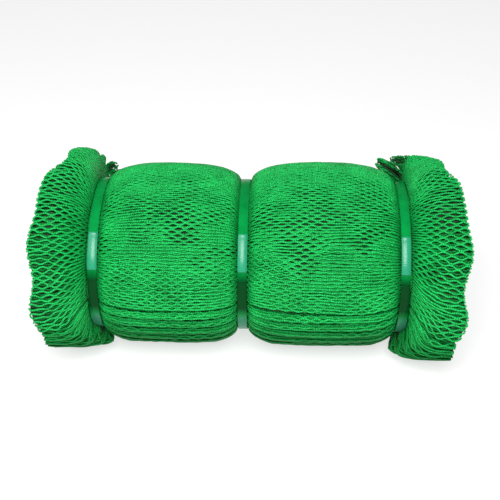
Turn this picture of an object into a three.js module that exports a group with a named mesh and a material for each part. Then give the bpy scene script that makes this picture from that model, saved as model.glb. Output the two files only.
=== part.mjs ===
// A safety net of green polyethylene twine, gathered, folded back and forth into a long
// bundle and tied with three plastic straps. The net swells into two barrels between the
// straps and flares into a ruff at each end.
//
// Millimetres, +Z up. The bundle runs along X, its front faces -Y and it lies on z = 0.

import * as THREE from 'three';

// Straps: centre of each band along the bundle, and the size of the band.
const STRAP_X = { left: -196, middle: -7, right: 198 };
const STRAP_WIDTH = 12;
const STRAP_THICK = 0.8;
const STRAP_CLEARANCE = 0.7;
const STRAP_STEP = 7.5;
// The welded overlap of the two ends, in degrees round the section: 0 is the front, 90 the top.
const OVERLAP = { from: 24, to: 54, edge: 0.4 };

// The cross section of a full barrel, which all the others are scaled from: half its width,
// and how far its outline goes above and below the middle line. With an exponent of 2 it would
// be an ellipse. The outline goes on below the lowest ply, which is flat.
const CENTRE_Z = 107;
const FULL = { half: 130, up: 107, down: 114 };
const NECK = { half: 107, up: 90, down: 93 };
const ROUND_TOP = 2.2;
const ROUND_BOTTOM = 2.1;

// The folds. Two plies and the turn that joins them make one fold; FOLD_TURN is the distance
// between its plies at the turn, and FOLD_GAP the distance on to the next fold.
const PLY_THICK = 3.4;
const FOLD_TURN = 8.2;
const FOLD_GAP = 6.5;
const FOLDS = 14;
const TURN_ANGLES = [-90, -32, 32, 90];
// The last ply comes over the top as a wrap, and ends half way down the front.
const WRAP_GAP = 1.4;
const WRAP_STEPS = 13;

// Each barrel lies between two straps. A station is a share of the half length, from -1 to 1.
const BARRELS = {
  left: { half: 129, up: 112 },
  right: { half: 131, up: 116 },
};
const NECK_HALF_LENGTH = STRAP_WIDTH / 2 + 2;
const BARREL_STATIONS = [-0.93, -0.6, 0, 0.6, 0.93];
const SWELL_POWER = 2.6;
const FLOOR_PLATEAU = 1.25;

// Each flare runs from an outer strap to its rim. A station is a share of the way out. The
// right one bulges forward, most at the angle given here. Both stand just off the ground.
const FLARE_LIFT = 1.5;
const FLARES = {
  left: { side: -1, strap: STRAP_X.left, half: 150, up: 118, centreZ: 117, frontBulge: 0.0 },
  right: { side: 1, strap: STRAP_X.right, half: 150, up: 114, centreZ: 113, frontBulge: 0.1 },
};
const BULGE = { angle: -50, spread: 30 };
const FLARE_STATIONS = [0.14, 0.5, 1];
const FLARE_POWER = 3;
const MOUTH_REACH = 46;
const PLEAT_COUNT = 9;
const PLEAT_REACH = 4;
// The front of a flare sags by this share of its half height, which squeezes the lower folds.
const FLARE_SAG = 0.28;

// How far the rim stands out from the strap, round the bundle: 0 degrees is the front,
// 90 the top and 180 the back. The ruff stands steeply at the back and spreads at the front.
const RIM = [
  { angle: -180, reach: 14 },
  { angle: -140, reach: 34 },
  { angle: -100, reach: 46 },
  { angle: -50, reach: 60 },
  { angle: 0, reach: 66 },
  { angle: 60, reach: 70 },
  { angle: 85, reach: 60 },
  { angle: 105, reach: 42 },
  { angle: 132, reach: 26 },
  { angle: 155, reach: 16 },
  { angle: 180, reach: 17 },
];

const DEGREE = Math.PI / 180;

const netGreen = new THREE.MeshStandardMaterial({ color: 0x1fa64c, roughness: 0.7, metalness: 0 });
const strapGreen = new THREE.MeshStandardMaterial({ color: 0x0f9a48, roughness: 0.25, metalness: 0 });

// A point on the outline of a section at an angle: 0 degrees is the front, 90 the top.
function outlinePoint(section, degrees) {
  const across = Math.cos(degrees * DEGREE);
  const upward = Math.sin(degrees * DEGREE);
  const power = upward > 0 ? ROUND_TOP : ROUND_BOTTOM;
  const reach = upward > 0 ? section.up : section.down;
  return new THREE.Vector2(
    -section.half * Math.sign(across) * Math.abs(across) ** (2 / power),
    CENTRE_Z + reach * Math.sign(upward) * Math.abs(upward) ** (2 / power),
  );
}

const fullOutline = Array.from({ length: 720 }, (_, i) => outlinePoint(FULL, i / 2));

function distanceToOutline(point) {
  return Math.min(...fullOutline.map((edge) => edge.distanceTo(point)));
}

// The centre of a turn at height z, as far to one side as it goes while it stays inside the
// outline by the given distance.
function turnCentre(side, z, inset) {
  let inside = 0;
  let outside = FULL.half;
  for (let step = 0; step < 24; step += 1) {
    const middle = (inside + outside) / 2;
    const point = new THREE.Vector2(side * middle, z);
    const { across, upward } = shares(point);
    const enclosed = Math.abs(across) < widthShare(upward);
    if (enclosed && distanceToOutline(point) > inset) inside = middle;
    else outside = middle;
  }
  return new THREE.Vector2(side * inside, z);
}

// The two faces of the folded ply, as one chain of points each, from the free end under the
// bundle up through every fold and over the top.
function foldedPly() {
  const outerRadius = (FOLD_TURN + PLY_THICK) / 2;
  const innerRadius = (FOLD_TURN - PLY_THICK) / 2;
  const pitch = FOLD_TURN + FOLD_GAP;
  const start = turnCentre(1, outerRadius, outerRadius).x;
  const faces = [[new THREE.Vector2(start, 0)], [new THREE.Vector2(start, PLY_THICK)]];

  function addTurn(side, centre) {
    const [outer, inner] = side < 0 ? faces : [faces[1], faces[0]];
    for (const degrees of TURN_ANGLES) {
      outer.push(new THREE.Vector2(
        centre.x + side * outerRadius * Math.cos(degrees * DEGREE),
        centre.y + outerRadius * Math.sin(degrees * DEGREE),
      ));
    }
    inner.push(new THREE.Vector2(centre.x, centre.y - innerRadius));
    inner.push(new THREE.Vector2(centre.x, centre.y + innerRadius));
  }

  for (let fold = 0; fold < FOLDS; fold += 1) {
    const frontZ = outerRadius + fold * pitch;
    const frontInset = outerRadius + (frontZ > CENTRE_Z ? PLY_THICK + WRAP_GAP : 0);
    addTurn(-1, turnCentre(-1, frontZ, frontInset));
    addTurn(1, turnCentre(1, frontZ + pitch / 2, outerRadius));
  }
  addWrap(faces);
  return [...faces[0], ...faces[1].reverse()];
}

// The wrap follows the outline from the last turn at the back, over the top, to the front.
function addWrap(faces) {
  const lastTurn = faces[1][faces[1].length - 1];
  const inner = { half: FULL.half - PLY_THICK, up: FULL.up - PLY_THICK, down: FULL.down };
  const from = Math.atan2((lastTurn.y - CENTRE_Z) / FULL.up, -lastTurn.x / FULL.half) / DEGREE;
  for (let step = 1; step <= WRAP_STEPS; step += 1) {
    const degrees = from * (1 - step / WRAP_STEPS);
    faces[1].push(outlinePoint(FULL, degrees));
    faces[0].push(outlinePoint(inner, degrees));
  }
}

const ply = foldedPly();

// How full a barrel is at a station: 0 in the neck, 1 in the middle.
function swell(station) {
  return Math.sqrt(1 - Math.abs(station) ** SWELL_POWER);
}

function mix(from, to, share) {
  return from + (to - from) * share;
}

// The reach of the rim at an angle, eased between the rows of the table.
function rimReach(degrees) {
  const next = RIM.findIndex((row) => row.angle >= degrees);
  if (next <= 0) return RIM[0].reach;
  const share = (degrees - RIM[next - 1].angle) / (RIM[next].angle - RIM[next - 1].angle);
  return mix(RIM[next - 1].reach, RIM[next].reach, (1 - Math.cos(share * Math.PI)) / 2);
}

// A point of the full section as shares of its half width and of its height above or below
// the middle line.
function shares(point) {
  const upward = point.y - CENTRE_Z;
  return { across: point.x / FULL.half, upward: upward / (upward > 0 ? FULL.up : FULL.down) };
}

// The point at those shares of another section.
function pointAt(x, section, { across, upward }) {
  const reach = upward > 0 ? section.up : section.down;
  return new THREE.Vector3(x, section.half * across, section.centreZ + upward * reach);
}

// The outline's half width at a height, both as shares.
function widthShare(upward) {
  const power = upward > 0 ? ROUND_TOP : ROUND_BOTTOM;
  return (1 - Math.abs(upward) ** power) ** (1 / power);
}

// Lowers the front of a section. The lowest ply and the top stay, and what is between keeps
// its place between the middle line and the outline.
function sagged({ across, upward }, sag) {
  const lowest = -CENTRE_Z / FULL.down;
  const drop = (sag * (1 - across)) / 2;
  const lowered = upward < 0
    ? lowest + (upward - lowest) * (1 + drop / lowest)
    : upward * (1 + drop) - drop;
  return { across: (across * widthShare(lowered)) / widthShare(upward), upward: lowered };
}

function neckRow(x) {
  return ply.map((point) => pointAt(x, { ...NECK, centreZ: CENTRE_Z }, shares(point)));
}

function barrelRow(barrel, fromX, toX, station) {
  const full = swell(station);
  const section = {
    half: mix(NECK.half, barrel.half, full),
    up: mix(NECK.up, barrel.up, full),
    down: mix(NECK.down, FULL.down, Math.min(1, full * FLOOR_PLATEAU)),
    centreZ: CENTRE_Z,
  };
  const x = mix(fromX, toX, (station + 1) / 2);
  return ply.map((point) => pointAt(x, section, shares(point)));
}

function flareRow(flare, station) {
  const full = 1 - (1 - station) ** FLARE_POWER;
  const section = {
    half: mix(NECK.half, flare.half, full),
    up: mix(NECK.up, flare.up, full),
    down: mix(NECK.down, (flare.centreZ - FLARE_LIFT) * FULL.down / CENTRE_Z, full),
    centreZ: mix(CENTRE_Z, flare.centreZ, full),
  };
  const neckX = flare.strap + flare.side * NECK_HALF_LENGTH;
  return ply.map((point) => {
    const { across, upward } = sagged(shares(point), FLARE_SAG * full);
    const angle = Math.atan2(upward, -across);
    const outward = Math.min(1, Math.hypot(across, upward)) ** 1.5;
    const pleat = PLEAT_REACH * Math.cos(PLEAT_COUNT * angle);
    const reach = mix(MOUTH_REACH, rimReach(angle / DEGREE) + pleat, outward);
    const lowFront = Math.exp(-(((angle / DEGREE - BULGE.angle) / BULGE.spread) ** 2));
    const widened = 1 + full * outward * flare.frontBulge * lowFront;
    const x = neckX + flare.side * reach * station;
    return pointAt(x, section, { across: across * widened, upward });
  });
}

// Every cross section of the net in order along the bundle.
function netRows() {
  const rows = [];
  for (const station of [...FLARE_STATIONS].reverse()) rows.push(flareRow(FLARES.left, station));
  const necks = [STRAP_X.left, STRAP_X.middle, STRAP_X.right];
  const barrels = [BARRELS.left, BARRELS.right];
  necks.forEach((x, index) => {
    rows.push(neckRow(x - NECK_HALF_LENGTH), neckRow(x + NECK_HALF_LENGTH));
    if (index === barrels.length) return;
    const fromX = x + NECK_HALF_LENGTH;
    const toX = necks[index + 1] - NECK_HALF_LENGTH;
    for (const station of BARREL_STATIONS) rows.push(barrelRow(barrels[index], fromX, toX, station));
  });
  for (const station of FLARE_STATIONS) rows.push(flareRow(FLARES.right, station));
  return rows;
}

// Skins rows of points, each a closed loop of the same length. The last row joins the first
// as a ring, or where an outline is given, the two ends are closed with its triangles.
function skin(rows, outline) {
  const count = rows[0].length;
  const positions = rows.flatMap((row) => row.flatMap((point) => point.toArray()));
  const index = [];
  const spans = outline ? rows.length - 1 : rows.length;
  for (let row = 0; row < spans; row += 1) {
    const next = ((row + 1) % rows.length) * count;
    for (let i = 0; i < count; i += 1) {
      const j = (i + 1) % count;
      const quad = [row * count + i, next + i, next + j, row * count + j];
      // Every diagonal runs from the front of the row further out, so that plies twist alike.
      const fromFront = rows[row][i].y < rows[row][j].y;
      if (fromFront === rows[row][i].x > 0) quad.push(quad.shift());
      index.push(quad[0], quad[1], quad[2], quad[0], quad[2], quad[3]);
    }
  }
  if (outline) {
    const last = (rows.length - 1) * count;
    const caps = THREE.ShapeUtils.triangulateShape(outline, []);
    for (const [a, b, c] of caps) index.push(a, c, b, last + a, last + b, last + c);
  }
  const geometry = new THREE.BufferGeometry();
  geometry.setAttribute('position', new THREE.Float32BufferAttribute(positions, 3));
  geometry.setIndex(index);
  geometry.computeVertexNormals();
  return geometry;
}

// A point just off the net's neck. The band runs straight across the flat lowest ply.
function offNeck(degrees, off) {
  const section = { half: NECK.half + off, up: NECK.up + off, down: NECK.down + off };
  const point = outlinePoint(section, degrees);
  const lowest = CENTRE_Z - NECK.down * (CENTRE_Z / FULL.down) - off;
  return new THREE.Vector2(point.x, Math.max(point.y, lowest));
}

// A strap is a flat band round a neck. Its two ends overlap at the front and are welded, so
// the band is twice as thick there.
function strapGeometry(x) {
  const angles = [OVERLAP.from - OVERLAP.edge, OVERLAP.from, OVERLAP.to, OVERLAP.to + OVERLAP.edge];
  for (let degrees = 0; degrees < 360; degrees += STRAP_STEP) angles.push(degrees);
  // Below these two angles the band runs flat under the bundle.
  const flatFrom = Math.asin((CENTRE_Z / FULL.down) ** (ROUND_BOTTOM / 2)) / DEGREE;
  angles.push(180 + flatFrom, 360 - flatFrom);
  angles.sort((a, b) => a - b);
  const rows = angles.map((degrees) => {
    const doubled = degrees >= OVERLAP.from && degrees <= OVERLAP.to;
    const inner = offNeck(degrees, STRAP_CLEARANCE);
    const outer = offNeck(degrees, STRAP_CLEARANCE + STRAP_THICK * (doubled ? 2 : 1));
    const left = x - STRAP_WIDTH / 2;
    const right = x + STRAP_WIDTH / 2;
    return [
      new THREE.Vector3(left, inner.x, inner.y),
      new THREE.Vector3(right, inner.x, inner.y),
      new THREE.Vector3(right, outer.x, outer.y),
      new THREE.Vector3(left, outer.x, outer.y),
    ];
  });
  return skin(rows);
}

const bundle = new THREE.Group();

const net = new THREE.Mesh(skin(netRows(), ply), netGreen);
net.name = 'net';
bundle.add(net);

for (const [place, x] of Object.entries(STRAP_X)) {
  const strap = new THREE.Mesh(strapGeometry(x), strapGreen);
  strap.name = `strap_${place}`;
  bundle.add(strap);
}

// The origin is under the middle of the bundle.
const box = new THREE.Box3().setFromObject(net);
const middle = box.getCenter(new THREE.Vector3());
bundle.position.set(-middle.x, -middle.y, -box.min.z);

export default bundle;
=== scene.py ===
# %% [markdown]
# A safety net is made of polyethylene twine. It is folded back and forth into a long stack,
# the last ply is pulled over the top, and three plastic straps squeeze the stack. Between the
# straps it swells into two barrels, and outside them it flares into a ruff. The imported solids
# have the folds as plain plies. Here the plies become netting: real twines where they show,
# over a thin sheet that closes the holes between them as the plies below do. A pattern on
# plain plies would be lighter, but the holes and the ragged edges of a net would be lost.

# %% Load the frame
import math

import bmesh
import bpy
import numpy as np
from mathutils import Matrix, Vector


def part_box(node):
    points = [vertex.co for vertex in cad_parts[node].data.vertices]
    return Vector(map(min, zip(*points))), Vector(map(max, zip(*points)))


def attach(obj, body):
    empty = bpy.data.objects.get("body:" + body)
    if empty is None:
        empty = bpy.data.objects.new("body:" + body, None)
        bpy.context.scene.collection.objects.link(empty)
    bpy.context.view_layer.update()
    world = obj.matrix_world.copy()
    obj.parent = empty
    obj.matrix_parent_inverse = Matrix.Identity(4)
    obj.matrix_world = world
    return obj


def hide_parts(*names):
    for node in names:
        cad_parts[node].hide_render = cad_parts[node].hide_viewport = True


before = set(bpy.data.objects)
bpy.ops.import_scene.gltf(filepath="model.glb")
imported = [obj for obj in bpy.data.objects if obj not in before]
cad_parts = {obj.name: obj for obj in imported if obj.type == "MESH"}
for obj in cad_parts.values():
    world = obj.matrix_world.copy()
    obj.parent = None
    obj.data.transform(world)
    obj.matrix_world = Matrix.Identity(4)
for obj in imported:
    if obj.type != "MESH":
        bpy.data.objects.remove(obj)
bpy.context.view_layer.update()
strap_low, strap_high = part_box("strap_left")

# %% [markdown]
# Cut across, the bundle is nearly an ellipse, a little squarer than one, and flat where it
# lies on the ground. A superellipse gives that from a half width, a height, a depth and two
# powers, and the lowest ply cuts it off flat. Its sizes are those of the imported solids. A curve
# drawn by hand would do for one section, but a formula lets shares of one section serve the
# barrels, the necks and the ruffs.

# %% Sizes of the sections
MM = 0.001
STRAP_X = {"left": -196 * MM, "middle": -7 * MM, "right": 198 * MM}
CENTRE_Z = 107 * MM
FULL = {"half": 130 * MM, "up": 107 * MM, "down": 114 * MM}
NECK = {"half": 107 * MM, "up": 90 * MM, "down": 93 * MM}
ROUND_TOP, ROUND_BOTTOM = 2.2, 2.1

# The frame is centred on its box, so the straps say how far it was moved.
SHIFT = Vector((
    (strap_low.x + strap_high.x) / 2 - STRAP_X["left"],
    (strap_low.y + strap_high.y) / 2,
    0.0,
))
print("frame moved by", SHIFT)


# %% Outline of a section
def outline(section, degrees):
    """The point of a section's outline at each angle: 0 is the front, 90 the top."""
    across, upward = np.cos(np.radians(degrees)), np.sin(np.radians(degrees))
    power = np.where(upward > 0, ROUND_TOP, ROUND_BOTTOM)
    reach = np.where(upward > 0, section["up"], section["down"])
    y = -section["half"] * np.sign(across) * np.abs(across) ** (2 / power)
    z = CENTRE_Z + reach * np.sign(upward) * np.abs(upward) ** (2 / power)
    return np.stack([y, z], axis=-1)


def half_width(upward):
    """Half the outline's width at a height, both as shares."""
    power = np.where(upward > 0, ROUND_TOP, ROUND_BOTTOM)
    return np.maximum(1e-6, 1 - np.minimum(1, np.abs(upward)) ** power) ** (1 / power)


def inset_by(depth):
    """The full section, smaller by a distance all round."""
    return {key: size - depth for key, size in FULL.items()}


OUTLINE_STEP = 0.5
full_outline = outline(FULL, np.arange(0, 360, OUTLINE_STEP))
print("points on the full outline:", len(full_outline))


# %% Depth inside the full section
REACH_STEPS = 2000


def inside_by(y, z):
    """How far a point lies inside the full outline, below zero when it is outside."""
    point = np.stack([np.asarray(y), np.asarray(z)], axis=-1)
    gap = np.linalg.norm(full_outline - point[..., None, :], axis=-1).min(axis=-1)
    height = point[..., 1] - CENTRE_Z
    upward = height / np.where(height > 0, FULL["up"], FULL["down"])
    enclosed = np.abs(point[..., 0]) / FULL["half"] < half_width(upward)
    return np.where(enclosed, gap, -gap)


def turn_centre(side, z, inset):
    """The centre of a turn, as far out as it goes while it stays inside by the inset."""
    reach = np.linspace(0, FULL["half"], REACH_STEPS)
    fits = inside_by(side * reach, np.full_like(reach, z)) > inset
    return side * reach[np.nonzero(fits)[0].max()]


print("the centre lies", round(float(inside_by(0.0, CENTRE_Z)), 3), "m inside the outline")

# %% [markdown]
# The folded line runs through the middle of the ply: under the bundle and up through fourteen
# folds. The last ply goes on over the back, turns there and comes over itself as the wrap,
# whose edge ends half way down the front. A simulated cloth would fold less evenly, but a
# line of arcs keeps the plies apart and agrees with the solids. Each point also knows which
# side of the ply faces out of the nearest turn, because the twines stand on that side and
# the closing sheet lies on the other.

# %% The folded line
PLY_THICK = 3.4 * MM
FOLD_TURN = 9.6 * MM
FOLD_GAP = 5.1 * MM
FOLDS = 14
WRAP_GAP = 1.4 * MM
COVER = {"from": 102, "turn": 140}
WRAP_END = -0.9
TURN_POINTS, COVER_POINTS, WRAP_POINTS = 8, 6, 44


def arc(centre, pointing, leaving, side):
    """A turn of the ply: half a circle that points one way and leaves another."""
    angles = np.radians(np.linspace(-90, 90, TURN_POINTS))
    offsets = np.outer(np.cos(angles), pointing) + np.outer(np.sin(angles), leaving)
    return [(*(centre + offset), side) for offset in offsets * FOLD_TURN / 2]


def folded_line():
    """Points y, z and the outer side (1 or -1) along the ply, and the number in the wrap."""
    outer = FOLD_TURN / 2 + PLY_THICK / 2
    pitch = FOLD_TURN + FOLD_GAP
    over = outline(inset_by(outer), COVER["turn"])
    rows = [(turn_centre(1, outer, outer), PLY_THICK / 2, 0.0)]
    for fold in range(FOLDS):
        front_z = outer + fold * pitch
        back_z = front_z + pitch / 2
        wrapped = PLY_THICK + WRAP_GAP if front_z > CENTRE_Z else 0.0
        covered = FOLD_TURN + PLY_THICK + WRAP_GAP if back_z > over[1] - outer else 0.0
        rows += arc((turn_centre(-1, front_z, outer + wrapped), front_z), (-1, 0), (0, 1), 1.0)
        if fold < FOLDS - 1:
            rows += arc((turn_centre(1, back_z, outer + covered), back_z), (1, 0), (0, 1), -1.0)
    for degrees in np.linspace(COVER["from"], COVER["turn"], COVER_POINTS)[:-1]:
        rows.append((*outline(inset_by(FOLD_TURN + PLY_THICK / 2), degrees), -1.0))
    leaving = outline(FULL, COVER["turn"]) - over
    leaving /= np.linalg.norm(leaving)
    rows += arc(over, (leaving[1], -leaving[0]), leaving, -1.0)
    wrap_angles = np.append(np.linspace(COVER["turn"], 0, WRAP_POINTS)[1:], WRAP_END)
    rows += [(*outline(inset_by(PLY_THICK / 2), degrees), -1.0) for degrees in wrap_angles]
    return np.array(rows), len(wrap_angles)


line, wrap_count = folded_line()
step = np.linalg.norm(np.diff(line[:, :2], axis=0), axis=1)
line_at = np.concatenate([[0], np.cumsum(step)])
LINE_LENGTH = line_at[-1]
wrap_starts = line_at[-wrap_count]
print("folded line:", round(LINE_LENGTH, 3), "m")

# %% Points and normals close together on the line
FINE_STEP = 0.5 * MM
fine_at = np.arange(0, LINE_LENGTH, FINE_STEP)
fine = np.stack([np.interp(fine_at, line_at, line[:, axis]) for axis in range(3)], axis=1)
slope = np.gradient(fine[:, :2], axis=0)
slope /= np.linalg.norm(slope, axis=1, keepdims=True)
fine_normal = np.stack([-slope[:, 1], slope[:, 0]], axis=1)
print("points on the line:", len(fine_at))

# %% [markdown]
# Along the bundle the net is counted in half meshes, from the left rim to the right one. Every
# row of netting has the same count, because it is one net, and the meshes are as long as the
# stretch that they cover. Columns in even steps of x would stretch the meshes on the barrels'
# steep ends, so the steps are even along the barrel's and the ruff's own profile.

# %% Columns of half meshes
COLUMNS = {"left flare": 10, "left neck": 2, "left barrel": 24, "middle neck": 2,
           "right barrel": 26, "right neck": 2, "right flare": 10}
EDGES = dict(zip(COLUMNS, np.cumsum([0, *COLUMNS.values()])))
LAST_COLUMN = sum(COLUMNS.values())
SWELL_POWER = 2.6
FLARE_POWER = 3
FLARE_HALF = 150 * MM
BARREL_HALF_LENGTH = 90 * MM
FLARE_LENGTH = 58 * MM


def mix(start, end, share):
    return start + (end - start) * share


def swell(station):
    """How full a barrel is, from 0 at its necks to 1 half way between them."""
    return np.sqrt(np.maximum(0, 1 - np.abs(station) ** SWELL_POWER))


def flared(station):
    """How wide a ruff is, from 0 at its neck to 1 at its rim."""
    return 1 - (1 - station) ** FLARE_POWER


def even_stations(stations, length, half):
    """Makes even steps along a profile out of even shares of columns."""
    points = np.stack([stations * length, half], axis=1)
    along = np.concatenate([[0], np.cumsum(np.linalg.norm(np.diff(points, axis=0), axis=1))])
    return lambda share: np.interp(share, along / along[-1], stations)


stations = np.linspace(-1, 1, 2001)
barrel_station = even_stations(
    stations, BARREL_HALF_LENGTH, mix(NECK["half"], FULL["half"], swell(stations)))
stations = np.linspace(0, 1, 1001)
flare_station = even_stations(
    stations, FLARE_LENGTH, mix(NECK["half"], FLARE_HALF, flared(stations)))
print("columns of half meshes:", LAST_COLUMN)

# %% [markdown]
# The ruffs aren't round: the rim reaches far out at the front and the top and stays short at
# the back, and it is pleated. A ruff is soft, so it hangs over more than its solid does. At
# the top of the back it curls in over the strap, and low on the front it bulges back past it
# before it runs out. Sculpting would do for one ruff. Bumps that are added at set angles keep
# both adjustable, and every ply and twine follows them.

# %% Shape of the ruffs
FLARES = {
    "left": {"side": -1, "up": 118 * MM, "centre_z": 117 * MM, "bulge": 0.03, "curl_lift": 0.02},
    "right": {"side": 1, "up": 114 * MM, "centre_z": 113 * MM, "bulge": 0.14, "curl_lift": 0.16},
}
FLARE_LIFT = 1.5 * MM
FLARE_SAG = 0.28
BULGE = {"angle": -50, "spread": 30}
MOUTH_REACH = 46 * MM
PLEAT_COUNT = 9
PLEAT_REACH = 4 * MM
RIM = {
    "angle": (-180, -140, -100, -50, 0, 60, 85, 105, 132, 155, 180),
    "reach": (14, 34, 46, 60, 66, 70, 60, 42, 26, 16, 17),
}
OUTWARD_POWER, CURL_POWER = 1.5, 1.5

# Each bump is its reach in millimetres, its angle and its spread in degrees.
CURL = {"left": [(50, 170, 17)], "right": [(58, 155, 19)]}
TUCK = {"left": [(50, -58, 28)], "right": [(45, -56, 28)]}
SKIRT = {
    "left": [(1, -15, 22), (-2, 43, 18), (-3, 80, 20)],
    "right": [(2, -12, 25), (4, 58, 14), (11, 103, 20)],
}


def bumps_at(bumps, degrees):
    """How far some of the ruff's bumps reach at an angle, together."""
    reach = np.zeros_like(degrees)
    for length, angle, spread in bumps:
        apart = (degrees - angle + 180) % 360 - 180
        reach += length * MM * np.exp(-(apart / spread) ** 2)
    return reach


def rim_reach(name, degrees):
    """How far the rim stands out from the strap at an angle round the bundle."""
    angles, reach = np.array(RIM["angle"]), np.array(RIM["reach"]) * MM
    after = np.clip(np.searchsorted(angles, degrees), 1, len(angles) - 1)
    share = (degrees - angles[after - 1]) / (angles[after] - angles[after - 1])
    smooth = mix(reach[after - 1], reach[after], (1 - np.cos(share * math.pi)) / 2)
    pleat = PLEAT_REACH * np.cos(np.radians(PLEAT_COUNT * degrees))
    return smooth + pleat + bumps_at(SKIRT[name], degrees)


def sagged(across, upward, sag):
    """Lowers the front of a section, and keeps its lowest ply and its top where they are."""
    lowest = -CENTRE_Z / FULL["down"]
    drop = sag * (1 - across) / 2
    below = lowest + (upward - lowest) * (1 + drop / lowest)
    lowered = np.where(upward < 0, below, upward * (1 + drop) - drop)
    return across * half_width(lowered) / half_width(upward), lowered


print("the rims reach", min(RIM["reach"]), "to", max(RIM["reach"]), "mm past the straps")

# %% Section of a barrel
NECK_HALF_LENGTH = 8 * MM
FLOOR_PLATEAU = 1.25
BARRELS = {
    "left": {"half": 129 * MM, "up": 112 * MM, "between": ("left", "middle")},
    "right": {"half": 131 * MM, "up": 116 * MM, "between": ("middle", "right")},
}


def barrel_section(name, share, across, upward):
    """Place, section and shares at points of a barrel, at shares of its columns."""
    barrel = BARRELS[name]
    before, after = (STRAP_X[strap] for strap in barrel["between"])
    station = barrel_station(share)
    full = swell(station)
    x = mix(before + NECK_HALF_LENGTH, after - NECK_HALF_LENGTH, (station + 1) / 2)
    size = {
        "half": mix(NECK["half"], barrel["half"], full),
        "up": mix(NECK["up"], barrel["up"], full),
        "down": mix(NECK["down"], FULL["down"], np.minimum(1, full * FLOOR_PLATEAU)),
        "centre_z": CENTRE_Z,
    }
    return x, size, across, upward


three = np.array([0.0, 0.5, 1.0])
print("left barrel's half width:", barrel_section("left", three, 0.0, 0.0)[1]["half"].round(3))


# %% Sections of a ruff and of a neck
def flare_section(name, share, across, upward):
    """Place, section and shares at points of a ruff, at shares of its columns."""
    flare = FLARES[name]
    station = flare_station(share if name == "right" else 1 - share)
    full = flared(station)
    across, upward = sagged(across, upward, FLARE_SAG * full)
    degrees = np.degrees(np.arctan2(upward, -across))
    outward = np.minimum(1, np.hypot(across, upward)) ** OUTWARD_POWER
    reach = mix(MOUTH_REACH, rim_reach(name, degrees), outward)
    curl = bumps_at(CURL[name], degrees) * outward * station ** CURL_POWER
    tuck = bumps_at(TUCK[name], degrees) * outward * np.sin(np.pi * station)
    out_by = reach * station - curl - tuck
    low_front = np.exp(-((degrees - BULGE["angle"]) / BULGE["spread"]) ** 2)
    deepest = (flare["centre_z"] - FLARE_LIFT) * FULL["down"] / CENTRE_Z
    size = {
        "half": mix(NECK["half"], FLARE_HALF, full),
        "up": mix(NECK["up"], flare["up"], full),
        "down": mix(NECK["down"], deepest, full),
        "centre_z": mix(CENTRE_Z, flare["centre_z"], full) + flare["curl_lift"] * curl,
    }
    x = STRAP_X[name] + flare["side"] * (NECK_HALF_LENGTH + out_by)
    return x, size, across * (1 + full * outward * flare["bulge"] * low_front), upward


def neck_section(name, share, across, upward):
    """Place, section and shares at points of a neck, at shares of its columns."""
    x = STRAP_X[name] + mix(-NECK_HALF_LENGTH, NECK_HALF_LENGTH, share)
    return x, {**NECK, "centre_z": CENTRE_Z}, across, upward


SECTION_OF = {"barrel": barrel_section, "flare": flare_section, "neck": neck_section}
front = flare_section("right", three, np.full(3, -0.9), np.zeros(3))
print("front of the right ruff at x:", front[0].round(3))

# %% [markdown]
# All of the netting is one folded sheet, so every piece below asks the same question: where is
# the point that lies so far along the folded line and so far along the bundle? Straight netting
# could be bent into the barrels by a lattice, but a lattice can't fold it. One function that
# answers for any point gives the twines and the sheet the same folds.


# %% Where a point of the netting lies
def place(column, at, lift):
    """Points of the netting, lifted off the middle of the ply towards its outer side."""
    column, at, lift = (np.array(a, dtype=float) for a in np.broadcast_arrays(column, at, lift))
    y, z, side = (np.interp(at, fine_at, fine[:, axis]) for axis in range(3))
    normal_y, normal_z = (np.interp(at, fine_at, fine_normal[:, axis]) for axis in range(2))
    y = y + normal_y * side * lift
    z = z + normal_z * side * lift
    all_across = y / FULL["half"]
    all_upward = (z - CENTRE_Z) / np.where(z > CENTRE_Z, FULL["up"], FULL["down"])
    point = np.zeros((*column.shape, 3))
    for zone, start in EDGES.items():
        end = start + COLUMNS[zone]
        here = (column >= start) & (column <= end)
        name, kind = zone.split()
        x, size, across, upward = SECTION_OF[kind](
            name, (column[here] - start) / (end - start), all_across[here], all_upward[here])
        reach = np.where(upward > 0, size["up"], size["down"])
        point[here, 0] = x
        point[here, 1] = size["half"] * across
        point[here, 2] = size["centre_z"] + reach * upward
    return point + np.array(SHIFT)


print("middle of the wrap's edge:", place(LAST_COLUMN / 2, LINE_LENGTH, 0.0).round(3))

# %% [markdown]
# A net is never even. Smooth noise over the net shifts its rows and columns a little, and opens
# and closes the meshes in patches. Noise that moved every point on its own would crumple the
# twines, so the noise is read from seeded tables with soft steps between their values, and
# each run gives the same net.


# %% Unevenness
TABLE_SIZE = 64
PATCHES = {"columns": 4.5, "rows": 1.3, "seed": 3, "share": 0.75, "share in a ruff": 0.4}
BANDS = {"columns": 1.9, "rows": 0.12, "seed": 4, "share": 0.4}
OPEN = {"even": 0.5, "ruff": 0.6, "most": 1.4}


def wander(u, v, seed):
    """Smooth noise from about -1 to 1, with one bump per unit of u and v."""
    table = np.random.default_rng(seed).uniform(-1, 1, (TABLE_SIZE, TABLE_SIZE))
    column, row = np.floor(u).astype(int), np.floor(v).astype(int)
    fu, fv = u - column, v - row
    fu, fv = fu * fu * (3 - 2 * fu), fv * fv * (3 - 2 * fv)
    corner = [[table[(column + i) % TABLE_SIZE, (row + j) % TABLE_SIZE] for j in (0, 1)]
              for i in (0, 1)]
    return mix(mix(corner[0][0], corner[0][1], fv), mix(corner[1][0], corner[1][1], fv), fu)


def looseness(column):
    """0 in the barrels and necks, and up to 1 at the rims."""
    return np.maximum(0, 1 - np.minimum(column, LAST_COLUMN - column) / COLUMNS["left flare"])


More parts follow.
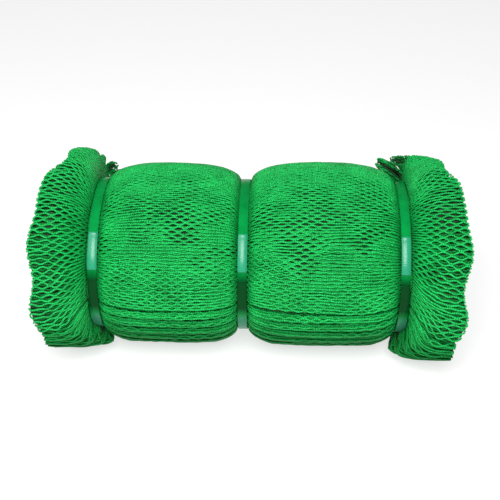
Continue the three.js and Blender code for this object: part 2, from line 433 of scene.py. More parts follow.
def openness(column, v):
    """How far the meshes are open: in patches, and in bands across the bundle."""
    loose = looseness(column)
    patches, bands = (wander(column / kind["columns"], v * kind["rows"], kind["seed"])
                      for kind in (PATCHES, BANDS))
    patches = (PATCHES["share"] + PATCHES["share in a ruff"] * loose) * patches
    return np.clip(OPEN["even"] + patches + BANDS["share"] * bands + OPEN["ruff"] * loose,
                   0, OPEN["most"])


print("openness along one row:", openness(np.arange(0, LAST_COLUMN, 8), 5.0).round(1))

# %% [markdown]
# Each row of twine zigzags: it swings towards the row before at one joint and towards the row
# after at the next. Between two rows that meet and part are the meshes. Crossing straight twines
# would be simpler, but a net's meshes are diamonds. The twines that show are those
# of the outer plies and those at the two mouths, so only these are made. A second layer lies
# half a row along and a little deeper, as the next ply does in a real bundle.

# %% Rows of twine
ROW_PITCH = 4 * MM
EXPOSED = {"top": 12 * MM, "under": 8 * MM, "flare": 16 * MM}
COVERED_ABOVE = 167 * MM
MOUTH_COLUMNS = 3

row_at = np.arange(ROW_PITCH, LINE_LENGTH - ROW_PITCH / 2, ROW_PITCH)
row_y, row_z = (np.interp(row_at, fine_at, fine[:, axis]) for axis in range(2))
row_depth = inside_by(row_y, row_z)
turn_length = math.pi / 2 * (FOLD_TURN + 1 * MM)
row_is_wrap = row_at > wrap_starts - turn_length
under_wrap = (row_z > CENTRE_Z) & ((row_y < 0) | (row_z > COVERED_ABOVE))
row_is_covered = under_wrap & ~row_is_wrap
print("rows:", len(row_at), "in the wrap:", int(row_is_wrap.sum()))

# %% Points of a twine
TWINE_RADIUS = {"top": 1.38 * MM, "under": 1.45 * MM}
MESH_SWING = 0.9 * MM
SWING_SHARE = {"closed": 0.25, "open": 0.9}
RIM_SWING = 0.34 * ROW_PITCH
RIM_INSET = 0.5
JOINT_SHARE = 0.2
UNDER_DEPTH = 2.2 * MM
SLOW_BUMP = {"columns": 7, "length": 28 * MM}
DRIFT = {"slow": 2.0 * MM, "quick": 0.6 * MM, "ruff": 0.9 * MM, "under": 1.6 * MM}
LIFT = {"even": 0.3 * MM, "slow": 0.5 * MM, "quick": 0.35 * MM}
COLUMN_DRIFT = 0.3

# Each wave is how much finer it is than the slow bump, and the seed of its noise.
WAVES = {"drift": (1, 1), "quick drift": (4, 2), "under drift": (2.2, 7), "column": (1, 4),
         "lift": (1.3, 5), "quick lift": (6, 6)}


def wave(name, u, v):
    """One of the waves at points of the net."""
    finer, seed = WAVES[name]
    return wander(u * finer, v * finer, seed)


def twine_points(row, first, last, layer):
    """The centre points of one twine between two columns."""
    top = layer == "top"
    column = np.arange(first, last + 1)
    sign = np.where((column + row) % 2, 1.0, -1.0)
    if top:
        column = np.stack([column - JOINT_SHARE, column + JOINT_SHARE], axis=1).ravel()
        inside = (column > first - JOINT_SHARE / 2) & (column < last + JOINT_SHARE / 2)
        column, sign = column[inside], np.repeat(sign, 2)[inside]
    else:
        sign = -sign
    at = row_at[row] + (0.0 if top else ROW_PITCH / 2)
    u, v = column / SLOW_BUMP["columns"], at / SLOW_BUMP["length"]
    quick = DRIFT["quick"] + DRIFT["ruff"] * looseness(column)
    drift = DRIFT["slow"] * wave("drift", u, v) + quick * wave("quick drift", u, v)
    if not top:
        drift = drift + DRIFT["under"] * wave("under drift", u, v)
    at_rim = (column < RIM_INSET) | (column > LAST_COLUMN - RIM_INSET)
    share = SWING_SHARE["closed"] + SWING_SHARE["open"] * openness(column, v)
    swing = np.where(at_rim, RIM_SWING, MESH_SWING * share)
    shifted = np.where(at_rim, column, column + COLUMN_DRIFT * wave("column", u, v))
    shifted = np.clip(shifted, RIM_INSET, LAST_COLUMN - RIM_INSET)
    lift = LIFT["even"] + LIFT["slow"] * wave("lift", u, v)
    lift = lift + LIFT["quick"] * wave("quick lift", u, v) - (0.0 if top else UNDER_DEPTH)
    point = place(shifted, np.clip(at + drift + swing * sign, 0, LINE_LENGTH), lift)
    point[:, 2] = np.maximum(point[:, 2], TWINE_RADIUS[layer])
    return point


print("points in a twine:", len(twine_points(0, 0, LAST_COLUMN, "top")))

# %% [markdown]
# A row of points becomes a twine when a small ring is swept along it. A skin modifier or a
# bevelled curve object would do that for a few. Geometry nodes do it for thousands at once and
# can keep, for the material, where each point lies round the ring and along the twine.


# %% Twines as tubes
def node_group(name, kind, inputs, outputs):
    """An empty group of nodes with named inputs and outputs."""
    tree = bpy.data.node_groups.new(name, kind)
    for way, sockets in (("INPUT", inputs), ("OUTPUT", outputs)):
        for socket, holds in sockets.items():
            tree.interface.new_socket(socket, in_out=way, socket_type="NodeSocket" + holds)
    return tree


def twine_tubes():
    """Geometry nodes that give every chain of edges a round section and closed ends."""
    inputs = {"Geometry": "Geometry", "Material": "Material", "Sides": "Int", "Radius": "Float"}
    tree = node_group("twine tubes", "GeometryNodeTree", inputs, {"Geometry": "Geometry"})
    add, link = tree.nodes.new, tree.links.new
    source, result = add("NodeGroupInput"), add("NodeGroupOutput")
    chain = add("GeometryNodeMeshToCurve")
    length = add("GeometryNodeSplineParameter")
    keep_length = add("GeometryNodeCaptureAttribute")
    keep_length.capture_items.new("FLOAT", "length")
    ring = add("GeometryNodeCurvePrimitiveCircle")
    ring.inputs["Radius"].default_value = 1.0
    spot = add("GeometryNodeInputPosition")
    keep_spot = add("GeometryNodeCaptureAttribute")
    keep_spot.capture_items.new("VECTOR", "spot")
    tube = add("GeometryNodeCurveToMesh")
    tube.inputs["Fill Caps"].default_value = True
    split, join = add("ShaderNodeSeparateXYZ"), add("ShaderNodeCombineXYZ")
    store = add("GeometryNodeStoreNamedAttribute")
    store.data_type, store.domain = "FLOAT_VECTOR", "POINT"
    store.inputs["Name"].default_value = "lay"
    smooth, paint = add("GeometryNodeSetShadeSmooth"), add("GeometryNodeSetMaterial")
    link(source.outputs["Geometry"], chain.inputs["Mesh"])
    link(chain.outputs["Curve"], keep_length.inputs["Geometry"])
    link(length.outputs["Length"], keep_length.inputs[1])
    link(source.outputs["Sides"], ring.inputs["Resolution"])
    link(ring.outputs["Curve"], keep_spot.inputs["Geometry"])
    link(spot.outputs["Position"], keep_spot.inputs[1])
    link(keep_length.outputs["Geometry"], tube.inputs["Curve"])
    link(keep_spot.outputs["Geometry"], tube.inputs["Profile Curve"])
    link(source.outputs["Radius"], tube.inputs["Scale"])
    link(keep_spot.outputs[1], split.inputs["Vector"])
    link(split.outputs["X"], join.inputs["X"])
    link(split.outputs["Y"], join.inputs["Y"])
    link(keep_length.outputs[1], join.inputs["Z"])
    link(tube.outputs["Mesh"], store.inputs["Geometry"])
    link(join.outputs["Vector"], store.inputs["Value"])
    link(store.outputs["Geometry"], smooth.inputs["Geometry"])
    link(smooth.outputs["Geometry"], paint.inputs["Geometry"])
    link(source.outputs["Material"], paint.inputs["Material"])
    link(paint.outputs["Geometry"], result.inputs["Geometry"])
    return tree


tubes = twine_tubes()
print("nodes for the tubes:", len(tubes.nodes))

# %% [markdown]
# Neither the twine nor a strap has one even colour, and both are finely ridged. Pictures of
# them could be laid on as textures, but they would need files and blur close up. Small trees
# of nodes stay sharp at any distance, and these helpers keep the trees short to write.


# %% Helpers for materials
def feed(tree, socket, value):
    """Links an input to the socket that feeds it, or gives it a plain value."""
    if isinstance(value, bpy.types.NodeSocket):
        tree.links.new(value, socket)
    else:
        socket.default_value = value


def node(tree, kind, **inputs):
    """Adds a node and feeds its inputs by name."""
    made = tree.nodes.new(kind)
    for name, value in inputs.items():
        feed(tree, made.inputs[name.replace("_", " ")], value)
    return made


def maths(tree, operation, first, second=0.0):
    """What an operation makes of one or two values, each a number or a socket."""
    made = tree.nodes.new("ShaderNodeMath")
    made.operation = operation
    feed(tree, made.inputs[0], first)
    feed(tree, made.inputs[1], second)
    return made.outputs[0]


def scaled(tree, value, share):
    return maths(tree, "MULTIPLY", value, share)


def mixed(tree, share, first, second):
    """A colour between two others, each given as a colour or as a socket."""
    made = tree.nodes.new("ShaderNodeMix")
    made.data_type = "RGBA"
    for number, value in ((0, share), (6, first), (7, second)):
        feed(tree, made.inputs[number], value)
    return made.outputs[2]


def noise(tree, place_on, kind):
    """Noise from 0 to 1 over the piece, with the scale and the detail of its kind."""
    made = node(tree, "ShaderNodeTexNoise", Vector=place_on,
                Scale=kind["scale"], Detail=kind["detail"])
    return made.outputs["Fac"]


def material_of(name, roughness, specular=0.5):
    """A new material, with its tree of nodes and its Principled shader."""
    made = bpy.data.materials.new(name)
    made.use_nodes = True
    shader = made.node_tree.nodes["Principled BSDF"]
    shader.inputs["Roughness"].default_value = roughness
    shader.inputs["Specular IOR Level"].default_value = specular
    return made, made.node_tree, shader


def bumped(tree, shader, height, kind):
    """Gives the shader a bump of the given height, as strong as its kind."""
    bump = node(tree, "ShaderNodeBump", Height=height,
                Strength=kind["strength"], Distance=kind["distance"])
    tree.links.new(bump.outputs["Normal"], shader.inputs["Normal"])


# %% [markdown]
# Polyethylene twine is laid: strands wind round it and catch the light as fine slanting
# ridges, and the colour darkens in the grooves between them as painted shade. Its green is
# clouded from patch to patch and flecked, partly its own mottling and partly painted glints
# of the filaments. Near a strap and low in the stack the twine gets painted shade.
# Modelled strands would cost millions of faces, so they are a bump that winds with the place
# round and along the twine. The outer twine and the twine inside the ruffs, darkened there
# as painted shade, share the effect as one node group.

# %% Look of laid twine
TWINE = {"Light": (0.02, 0.75, 0.16, 1), "Dark": (0.0003, 0.10, 0.009, 1)}
# Painted shade: a darker copy of the twine for the plies inside the ruffs.
SHADED_INNER_TWINE = {"Light": (0.004, 0.34, 0.06, 1), "Dark": (0.0002, 0.05, 0.005, 1)}
# Painted shade: the colour that the twine takes on near the straps and low in the stack.
PAINTED_SHADE = (0.0003, 0.10, 0.012, 1)
TWINE_ROUGHNESS, TWINE_SPECULAR = 0.4, 0.12
LAY_PITCH = 2.2 * MM
# The ridge's share paints shade into the grooves between strands; its height is the bump.
RIDGE = {"share": 0.22, "height": 0.5}
# The flecks are partly the twine's own mottling and partly painted glints of its filaments.
FLECK_AND_GLINT = {"scale": 900.0, "detail": 2.0, "share": 2.2}
CLOUD = {"scale": 45.0, "detail": 2.0, "share": 0.5}
DARKER_BY = 0.85
TWINE_BUMP = {"strength": 0.6, "distance": 0.4 * MM}
# Painted shade, darkest low in the stack and close to each strap.
PAINTED_SHADE_LOW = {"from": 95 * MM, "to": 40 * MM, "share": 0.75}
PAINTED_SHADE_NEAR_STRAP = {"from": 17 * MM, "to": 7 * MM, "share": 0.6}


def fading(tree, value, limits):
    """Grows from 0 at one limit to a share at the other."""
    made = node(tree, "ShaderNodeMapRange", Value=value,
                From_Min=limits["from"], From_Max=limits["to"])
    return scaled(tree, made.outputs[0], limits["share"])


def painted_shade_share(tree, place_on):
    """How much painted shade the twine gets: most near a strap and low in the stack."""
    where = node(tree, "ShaderNodeSeparateXYZ", Vector=place_on)
    nearest = 1.0
    for strap_x in STRAP_X.values():
        apart = maths(tree, "SUBTRACT", where.outputs["X"], strap_x + SHIFT.x)
        nearest = maths(tree, "MINIMUM", nearest, maths(tree, "ABSOLUTE", apart))
    return maths(tree, "MAXIMUM", fading(tree, where.outputs["Z"], PAINTED_SHADE_LOW),
                 fading(tree, nearest, PAINTED_SHADE_NEAR_STRAP))


def laid_twine():
    """The node group: strands wind round the twine; its colour is clouded, with painted glints and
    painted shade.
    """
    inputs = {"Lay": "Vector", "Place": "Vector", "Dark": "Color", "Light": "Color"}
    tree = node_group("laid twine", "ShaderNodeTree", inputs, {"Colour": "Color", "Height": "Float"})
    source = node(tree, "NodeGroupInput").outputs
    lay = node(tree, "ShaderNodeSeparateXYZ", Vector=source["Lay"])
    turn = scaled(tree, lay.outputs["Z"], 2 * math.pi / LAY_PITCH)
    ridge = maths(tree, "ADD", scaled(tree, lay.outputs["X"], maths(tree, "COSINE", turn)),
                  scaled(tree, lay.outputs["Y"], maths(tree, "SINE", turn)))
    fleck_and_glint, cloud = noise(tree, source["Place"], FLECK_AND_GLINT), noise(tree, source["Place"], CLOUD)
    # Painted shade in the grooves and painted glints in the flecks, over clouds of the twine's own
    # tone.
    shade = maths(tree, "ADD", scaled(tree, ridge, RIDGE["share"]),
                  scaled(tree, fleck_and_glint, FLECK_AND_GLINT["share"]))
    shade = maths(tree, "ADD", shade, scaled(tree, cloud, CLOUD["share"]))
    shade = maths(tree, "SUBTRACT", shade, DARKER_BY)
    colour = mixed(tree, shade, source["Dark"], source["Light"])
    # Painted shade near the straps and low in the stack.
    colour = mixed(tree, painted_shade_share(tree, source["Place"]), colour, PAINTED_SHADE)
    height = maths(tree, "ADD", scaled(tree, ridge, RIDGE["height"]), fleck_and_glint)
    node(tree, "NodeGroupOutput", Colour=colour, Height=height)
    return tree


# %% The two materials of laid twine
def twine_material(name, colours):
    """A material with the laid twine in its own two colours."""
    made, tree, shader = material_of(name, TWINE_ROUGHNESS, TWINE_SPECULAR)
    twine = tree.nodes.new("ShaderNodeGroup")
    twine.node_tree = laid
    lay = node(tree, "ShaderNodeAttribute")
    lay.attribute_name = "lay"
    tree.links.new(lay.outputs["Vector"], twine.inputs["Lay"])
    tree.links.new(node(tree, "ShaderNodeTexCoord").outputs["Object"], twine.inputs["Place"])
    for socket, colour in colours.items():
        twine.inputs[socket].default_value = colour
    tree.links.new(twine.outputs["Colour"], shader.inputs["Base Color"])
    bumped(tree, shader, twine.outputs["Height"], TWINE_BUMP)
    return made


laid = laid_twine()
twine_look = twine_material("green twine", TWINE)
shaded_inner_look = twine_material("green twine in painted shade inside the ruffs", SHADED_INNER_TWINE)
print("materials:", twine_look.name, "and", shaded_inner_look.name)

# %% [markdown]
# The net is one piece in the real bundle. Here its twines are cut into ten pieces, at the
# middle strap and at the outer ones, so that each stays light enough to edit. Every row could
# run from rim to rim, but most of its faces would lie hidden. So the barrels get only the
# outer rows, the ruffs get deeper ones, and the rest is made at the two mouths alone.


# %% Pieces of netting
def piece_of(name, mesh, material):
    """An object at the origin that rides on the bundle, with one material."""
    mesh.materials.clear()
    mesh.materials.append(material)
    piece = bpy.data.objects.new(name, mesh)
    bpy.context.collection.objects.link(piece)
    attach(piece, "root")
    return piece


def netting(name, rows, first, last, layer, sides, material):
    """One piece of netting: the given rows of twine between two columns."""
    chains, edges, count = [], [], 0
    for row in rows:
        point = twine_points(row, first, last, layer)
        index = np.arange(count, count + len(point))
        chains.append(point)
        edges.append(np.stack([index[:-1], index[1:]], axis=1))
        count += len(point)
    mesh = bpy.data.meshes.new(name + " chains")
    mesh.from_pydata(np.concatenate(chains).tolist(), np.concatenate(edges).tolist(), [])
    chain = bpy.data.objects.new(name + " chains", mesh)
    bpy.context.collection.objects.link(chain)
    tube = chain.modifiers.new("tubes", "NODES")
    tube.node_group = tubes
    for socket, value in (("Material", material), ("Sides", sides), ("Radius", TWINE_RADIUS[layer])):
        tube[tubes.interface.items_tree[socket].identifier] = value
    finished = bpy.data.meshes.new_from_object(
        chain.evaluated_get(bpy.context.evaluated_depsgraph_get()))
    bpy.data.objects.remove(chain)
    bpy.data.meshes.remove(mesh)
    triangles = sum(len(face.vertices) - 2 for face in finished.polygons)
    print(name, "has", len(rows), "twines and", triangles, "triangles")
    return piece_of(name, finished, material)


# %% Twines of the net
def rows_where(chosen):
    return np.nonzero(chosen)[0]


SPLIT = EDGES["middle neck"] + 1
left, right, end = EDGES["left neck"], EDGES["right flare"], LAST_COLUMN
barrel_rows = rows_where((row_depth < EXPOSED["top"]) & ~row_is_covered)
under_rows = rows_where((row_depth < EXPOSED["under"]) & ~row_is_covered)
in_flare = (row_depth < EXPOSED["flare"]) & ~row_is_covered
flare_rows, mouth_rows = rows_where(in_flare), rows_where(~in_flare)
twines = [
    netting("net_left_barrel", barrel_rows, left, SPLIT, "top", 5, twine_look),
    netting("net_right_barrel", barrel_rows, SPLIT, right, "top", 5, twine_look),
    netting("net_left_flare", flare_rows, 0, left, "top", 5, twine_look),
    netting("net_right_flare", flare_rows, right, end, "top", 5, twine_look),
    netting("net_left_mouth", mouth_rows, 0, MOUTH_COLUMNS, "top", 4, twine_look),
    netting("net_right_mouth", mouth_rows, end - MOUTH_COLUMNS, end, "top", 4, twine_look),
    netting("net_under_left", under_rows, left, SPLIT, "under", 4, twine_look),
    netting("net_under_right", under_rows, SPLIT, right, "under", 4, twine_look),
    # The ruffs' inner twines take the copy darkened as painted shade.
    netting("net_inner_left", under_rows, 0, left, "under", 4, shaded_inner_look),
    netting("net_inner_right", under_rows, right, end, "under", 4, shaded_inner_look),
]

# %% [markdown]
# In a real bundle one looks through the meshes onto dozens of plies below. Making them all
# would take millions of faces, so one thin sheet follows the folded line just under the
# twines, darker than they are: its dark green is painted shade for the deep plies. It starts
# as a flat grid whose vertices are moved to their places on the line, and Solidify gives it
# its thickness. The grid's own places stay as a UV map, so that the faint lattice on the
# sheet follows the rows above it.

# %% The closing sheet
SHEET_DEPTH = 3.3 * MM
SHEET_THICK = 0.6 * MM
LONG_PLY = 30 * MM
PLY_MARKS = {"near": 10 * MM, "inner": 35 * MM, "count": 4}


def sheet_marks():
    """Distances along the folded line for the sheet's rows: close in the turns, wide between."""
    marks = [0.0]
    for before, after in zip(line_at[:-1], line_at[1:]):
        if after - before > LONG_PLY:
            inner = PLY_MARKS["inner"]
            marks += [before + PLY_MARKS["near"],
                      *np.linspace(before + inner, after - inner, PLY_MARKS["count"]),
                      after - PLY_MARKS["near"]]
        marks.append(after)
    return np.array(marks)


def numbered_grid(mesh, across, along):
    """Adds a grid, and tells the number across and along of each of its vertices."""
    made = bmesh.ops.create_grid(mesh, x_segments=across, y_segments=along, size=0.5)
    return {vertex: (round((vertex.co.x + 0.5) * across), round((vertex.co.y + 0.5) * along))
            for vertex in made["verts"]}


def ply_sheet(name, material):
    """The folded sheet: a grid whose every vertex is moved to its place on the folded line."""
    marks = sheet_marks()
    columns = np.linspace(RIM_INSET, LAST_COLUMN - RIM_INSET, LAST_COLUMN)
    point = place(columns[:, None], marks[None, :], -SHEET_DEPTH)
    grid = bmesh.new()
    numbers = numbered_grid(grid, len(columns) - 1, len(marks) - 1)
    lattice = grid.loops.layers.uv.new("lattice")
    for vertex, number in numbers.items():
        vertex.co = point[number]
    for face in grid.faces:
        face.smooth = True
        for loop in face.loops:
            i, j = numbers[loop.vert]
            loop[lattice].uv = (columns[i], marks[j] / ROW_PITCH)
    mesh = bpy.data.meshes.new(name)
    grid.to_mesh(mesh)
    grid.free()
    piece = piece_of(name, mesh, material)
    wall = piece.modifiers.new("thickness", "SOLIDIFY")
    wall.thickness, wall.offset = SHEET_THICK, 0.0
    print(name, "has", len(marks), "by", len(columns), "points")
    return piece


# %% [markdown]
# Through the meshes the plies below lie in shade, so the sheet's dark green is painted
# shade, with a hint of their own meshes. A picture of netting could be laid on the sheet,
# but it would have to be fitted to the folds. A wave over the UV map gives the hint at any
# size and keeps to the rows above.

# %% Look of the plies below
# Painted shade: the dark greens of the plies below the twines.
PLIES_DARK, PLIES_LIGHT = (0.0003, 0.01, 0.0015, 1), (0.0015, 0.09, 0.012, 1)
PLIES_ROUGHNESS = 0.6
PLIES_CLOUD = {"scale": 120.0, "detail": 3.0}
LATTICE = {"swing": 0.2, "share": 0.3}
LATTICE_BUMP = {"strength": 0.8, "distance": 1 * MM}


def shaded_sheet_material():
    """Dark green as painted shade, with a faint lattice where the meshes of the plies below would
    be.
    """
    made, tree, shader = material_of("plies below", PLIES_ROUGHNESS)
    lattice = node(tree, "ShaderNodeUVMap")
    lattice.uv_map = "lattice"
    cell = node(tree, "ShaderNodeSeparateXYZ", Vector=lattice.outputs["UV"])
    cloud = noise(tree, node(tree, "ShaderNodeTexCoord").outputs["Object"], PLIES_CLOUD)
    zigzag = maths(tree, "SINE", scaled(tree, cell.outputs["X"], math.pi))
    row = maths(tree, "ADD", cell.outputs["Y"], scaled(tree, zigzag, LATTICE["swing"]))
    row_line = maths(tree, "COSINE", scaled(tree, row, 2 * math.pi))
    shade = maths(tree, "ADD", scaled(tree, row_line, LATTICE["share"]), cloud)
    tree.links.new(mixed(tree, shade, PLIES_DARK, PLIES_LIGHT), shader.inputs["Base Color"])
    bumped(tree, shader, row_line, LATTICE_BUMP)
    return made


plies = ply_sheet("net_plies", shaded_sheet_material())
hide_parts("net")

# %% [markdown]
# A strap is a flat band of extruded plastic round each neck. Its free end lies over the rest at
# the front, where the two are welded, and is a little narrower and askew. A ribbon curve with
# a bevel could twist at the neck's corners, so the band is a grid that is wrapped round the
# band's small section one way and round the neck the other, and is then welded at its seams.

# %% Shape of a strap
STRAP_WIDTH = 12 * MM
STRAP_THICK = 0.8 * MM
STRAP_CLEARANCE = 0.7 * MM
STRAP_ROUND = 0.28 * MM
STRAP_STEP = 2.5
LAP = {"from": 24, "to": 54, "half": 5.3 * MM, "aside": -0.5 * MM, "gap": 0.03 * MM,
       "curl": 0.9 * MM}
LAP_STEPS = 24
WELD_DISTANCE = 0.01 * MM


def neck_line(degrees, off):
    """Points of the band's line round the neck, at a distance off the netting."""
    point = outline({key: size + off for key, size in NECK.items()}, degrees)
    lowest = CENTRE_Z - NECK["down"] * CENTRE_Z / FULL["down"] - off
    return np.stack([point[:, 0], np.maximum(point[:, 1], lowest)], axis=1)


def band(mesh, x, half, degrees, off):
    """Adds a band with rounded edges that runs round the neck, at a distance off it."""
    r, thick = STRAP_ROUND, STRAP_THICK
    section = [(-half + r, 0), (half - r, 0), (half, r), (half, thick - r), (half - r, thick),
               (-half + r, thick), (-half, thick - r), (-half, r), (-half + r, 0)]
    base = neck_line(degrees, 0.0)
    outward = (neck_line(degrees, 1 * MM) - base) / (1 * MM)
    uv = mesh.loops.layers.uv.verify()
    numbers = numbered_grid(mesh, len(degrees) - 1, len(section) - 1)
    for vertex, (along, round_it) in numbers.items():
        across, up = section[round_it]
        y, z = base[along] + outward[along] * (off[along] + up)
        vertex.co = Vector((x + across, y, z)) + SHIFT
    for face in {face for vertex in numbers for face in vertex.link_faces}:
        face.smooth = True
        for loop in face.loops:
            along, round_it = numbers[loop.vert]
            loop[uv].uv = (degrees[along] / 360, section[round_it][0] / (2 * half) + 0.5)
    bmesh.ops.remove_doubles(mesh, verts=list(numbers), dist=WELD_DISTANCE)


def close_ends(mesh):
    """Closes the open ends of a band, and gives each end the angle that it lies at."""
    uv = mesh.loops.layers.uv.verify()
    open_edges = [edge for edge in mesh.edges if edge.is_boundary]
    for end_face in bmesh.ops.holes_fill(mesh, edges=open_edges, sides=8)["faces"]:
        end_face.smooth = False
        beside = next(loop for loop in end_face.edges[0].link_loops if loop.face != end_face)
        angle = beside[uv].uv.x
        for loop in end_face.loops:
            loop[uv].uv = (angle, 0.5)


def strap(name, place_name, material):
    """A band round the neck, with its free end welded over it."""
    mesh = bmesh.new()
    around = np.arange(0, 360 + STRAP_STEP, STRAP_STEP)
    band(mesh, STRAP_X[place_name], STRAP_WIDTH / 2, around, np.full(len(around), STRAP_CLEARANCE))
    lap = np.linspace(LAP["from"], LAP["to"], LAP_STEPS + 1)
    curl = LAP["curl"] * np.maximum(0, (lap - LAP["to"] + STRAP_STEP) / STRAP_STEP) ** 2
    rise = STRAP_CLEARANCE + STRAP_THICK + LAP["gap"] + curl
    band(mesh, STRAP_X[place_name] + LAP["aside"], LAP["half"], lap, rise)
    close_ends(mesh)
    bmesh.ops.recalc_face_normals(mesh, faces=mesh.faces)
    made = bpy.data.meshes.new(name)
    mesh.to_mesh(made)
    mesh.free()
    piece = piece_of(name, made, material)
    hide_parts("strap_" + place_name)
    print(name, "has", len(made.polygons), "faces")
    return piece


# %% [markdown]
# The strap is glossy and slightly milky, which shows most where two layers lie over each
# other; the lap's paler teal also holds part of its highlight, painted in. Below the lap the
# strap gets painted shade, and underneath a painted reflection of the pale ground, paler and
# greyer. A second material would end in a hard line, so masks with soft ends, made from the
# angle round the neck in the band's own UV map, change the one material.

# %% Look of a strap
STRAP_DARK, STRAP_LIGHT = (0.001, 0.15, 0.026, 1), (0.003, 0.35, 0.07, 1)
# Painted shade on the strap below the lap.
SHADED = {"colour": (0.0003, 0.042, 0.007, 1), "from": -11, "to": 21, "soft": 5, "share": 0.95}
# The lap's paler teal is partly the milky double layer and partly a painted highlight.
ON_LAP = {"colour": (0.03, 0.36, 0.21, 1), "from": LAP["from"], "to": LAP["to"], "soft": 0.5,
          "share": 0.75}
# Painted reflection of the pale ground on the strap's underside.
PAINTED_GROUND_REFLECTION = {"colour": (0.06, 0.19, 0.17, 1), "from": -75, "to": -15, "soft": 4, "share": 0.6}
LAP_COAT, COAT_ROUGHNESS = 0.8, 0.26
STRAP_ROUGHNESS, STRAP_SPECULAR = 0.2, 0.06
GRAIN = {"scale": 700.0, "detail": 3.0, "share": 0.35}
STRAP_CLOUD = {"scale": 60.0, "detail": 2.0, "share": 0.9}
RIB = {"radians": 60.0, "height": 0.15}
STRAP_BUMP = {"strength": 0.35, "distance": 0.2 * MM}


def between(tree, value, zone):
    """1 where a value lies between a zone's two limits, and 0 outside, with soft ends."""
    steps = [node(tree, "ShaderNodeMapRange", Value=value,
                  From_Min=zone[limit] - zone["soft"], From_Max=zone[limit] + zone["soft"])
             for limit in ("from", "to")]
    return maths(tree, "SUBTRACT", steps[0].outputs[0], steps[1].outputs[0])


def strap_material():
    """Green plastic: milky on the lap with part of its highlight painted in, painted shade below it
    and a painted reflection of the ground underneath.
    """
    made, tree, shader = material_of("green strap", STRAP_ROUGHNESS, STRAP_SPECULAR)
    shader.inputs["Coat Roughness"].default_value = COAT_ROUGHNESS
    spot = node(tree, "ShaderNodeTexCoord").outputs["Object"]
    grain, cloud = noise(tree, spot, GRAIN), noise(tree, spot, STRAP_CLOUD)
    shade = maths(tree, "ADD", scaled(tree, grain, GRAIN["share"]),
                  scaled(tree, cloud, STRAP_CLOUD["share"]))
    colour = mixed(tree, shade, STRAP_DARK, STRAP_LIGHT)
    uv = node(tree, "ShaderNodeUVMap").outputs["UV"]
    on_band = node(tree, "ShaderNodeSeparateXYZ", Vector=uv).outputs
    turn = maths(tree, "FRACT", maths(tree, "ADD", on_band["X"], 0.5))
    angle = scaled(tree, maths(tree, "SUBTRACT", turn, 0.5), 360.0)
    # Painted shade below the lap, the lap's paler tint with part of its highlight, and a painted
    # reflection of the ground underneath.
    for zone in (SHADED, ON_LAP, PAINTED_GROUND_REFLECTION):
        share = scaled(tree, between(tree, angle, zone), zone["share"])
        colour = mixed(tree, share, colour, zone["colour"])
    tree.links.new(colour, shader.inputs["Base Color"])
    coat = scaled(tree, between(tree, angle, ON_LAP), LAP_COAT)
    tree.links.new(coat, shader.inputs["Coat Weight"])
    rib = maths(tree, "SINE", scaled(tree, on_band["Y"], RIB["radians"]))
    bumped(tree, shader, maths(tree, "ADD", scaled(tree, rib, RIB["height"]), grain), STRAP_BUMP)
    return made


strap_look = strap_material()
for place_name in STRAP_X:
    strap("strap_band_" + place_name, place_name, strap_look)

# %% [markdown]
# The bundle is shown on plain pale ground under soft studio light. Ground that is only lit
# would come out grey, so it also glows a little. Two large soft lamps leave faint shadows
# under the ruffs, and the world adds a weak fill.

# %% Ground and world
FLOOR = {"size": 6.0, "roughness": 0.9, "grey": 0.5, "glow": 0.68}
WORLD_STRENGTH = 0.12
WHITE = (1, 1, 1, 1)

floor_mesh = bmesh.new()
bmesh.ops.create_grid(floor_mesh, x_segments=1, y_segments=1, size=FLOOR["size"])
mesh = bpy.data.meshes.new("floor")
floor_mesh.to_mesh(mesh)
floor_mesh.free()
floor = bpy.data.objects.new("floor", mesh)
bpy.context.collection.objects.link(floor)
floor_look, _, shader = material_of("pale floor", FLOOR["roughness"])
shader.inputs["Base Color"].default_value = (FLOOR["grey"], FLOOR["grey"], FLOOR["grey"], 1)
shader.inputs["Emission Color"].default_value = WHITE
shader.inputs["Emission Strength"].default_value = FLOOR["glow"]
mesh.materials.append(floor_look)

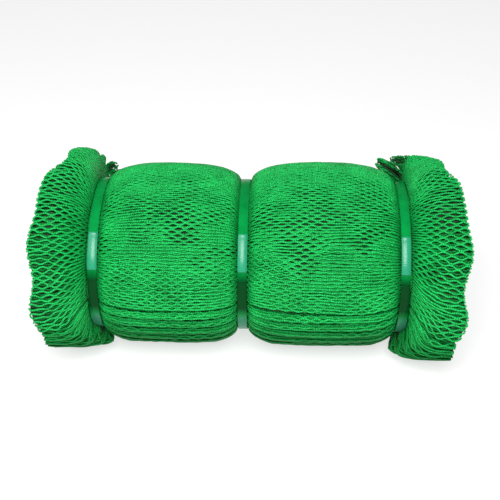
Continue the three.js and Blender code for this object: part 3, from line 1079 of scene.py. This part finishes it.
world = bpy.data.worlds.new("studio")
world.use_nodes = True
world.node_tree.nodes["Background"].inputs["Color"].default_value = WHITE
world.node_tree.nodes["Background"].inputs["Strength"].default_value = WORLD_STRENGTH
bpy.context.scene.world = world
bpy.context.scene.view_settings.view_transform = "Standard"
print("floor", 2 * FLOOR["size"], "m wide")


# %% Soft lamps
def direction(azimuth, elevation):
    """The way from the bundle to something seen at two angles in degrees."""
    a, e = math.radians(azimuth), math.radians(elevation)
    return Vector((math.sin(a) * math.cos(e), -math.cos(a) * math.cos(e), math.sin(e)))


def facing(thing, out):
    """Adds a lamp or a camera to the scene, so that it looks back along a direction."""
    thing.rotation_mode = "QUATERNION"
    thing.rotation_quaternion = out.to_track_quat("Z", "Y")
    bpy.context.collection.objects.link(thing)


def softbox(name, azimuth, elevation, distance, size, watts):
    """A square soft lamp that shines on the bundle."""
    light = bpy.data.lights.new(name, "AREA")
    light.size, light.energy = size, watts
    lamp = bpy.data.objects.new(name, light)
    out = direction(azimuth, elevation)
    lamp.location = out * distance
    facing(lamp, out)
    print(name, "at", distance, "m")


softbox("front softbox", azimuth=0, elevation=56, distance=1.8, size=1.1, watts=34)
softbox("side softbox", azimuth=-60, elevation=50, distance=2.0, size=1.0, watts=6)

# %% [markdown]
# The camera looks down on the front from a little to the right. It stands some way off with
# a long lens, because the photograph's two barrels show almost no difference in size.

# %% Camera
CAMERA = {"azimuth": 1.7, "elevation": 35.0, "distance": 1.541, "lens": 82.6, "rise": 4 * MM}
SENSOR_WIDTH = 36.0
camera = bpy.data.objects.new("camera", bpy.data.cameras.new("camera"))
camera.data.lens, camera.data.sensor_width = CAMERA["lens"], SENSOR_WIDTH
out = direction(CAMERA["azimuth"], CAMERA["elevation"])
picture_up = -direction(CAMERA["azimuth"], CAMERA["elevation"] - 90)
target = Vector((0, 0, CENTRE_Z)) + SHIFT + picture_up * CAMERA["rise"]
camera.location = target + out * CAMERA["distance"]
facing(camera, out)
bpy.context.scene.camera = camera
print("camera at", camera.location)
